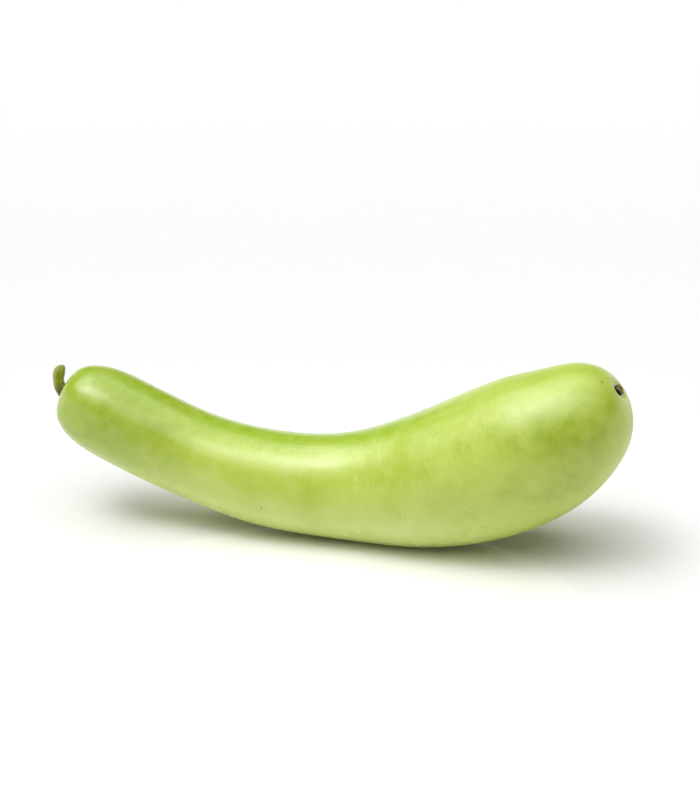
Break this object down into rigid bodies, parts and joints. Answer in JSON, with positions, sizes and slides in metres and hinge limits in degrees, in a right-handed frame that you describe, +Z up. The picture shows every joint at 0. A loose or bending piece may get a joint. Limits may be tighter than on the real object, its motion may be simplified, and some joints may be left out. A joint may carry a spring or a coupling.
{
  "type": "bottle gourd",
  "caption": "Long curved bottle gourd as picked, lying on its belly with both ends raised, with a short cut stem and a dried flower stub.",
  "frame": {"origin": "on the surface the gourd lies on, under the middle of its box", "axes": "+X from the stem end to the blossom end, +Y away from the side it is mostly seen from, +Z up"},
  "size_m": [0.3976, 0.1014, 0.1321],
  "materials": {
    "rind": "smooth satin pale green skin, faintly mottled, with a soft pale bloom",
    "stem": "ridged olive green stalk, slightly hairy, with a dry pale cut end",
    "dried_flower": "dry corky brown, rough"
  },
  "bodies": {
    "root": {"fruit": "rind", "stem": "stem", "blossom_nub": "dried_flower"}
  },
  "joints": []
}
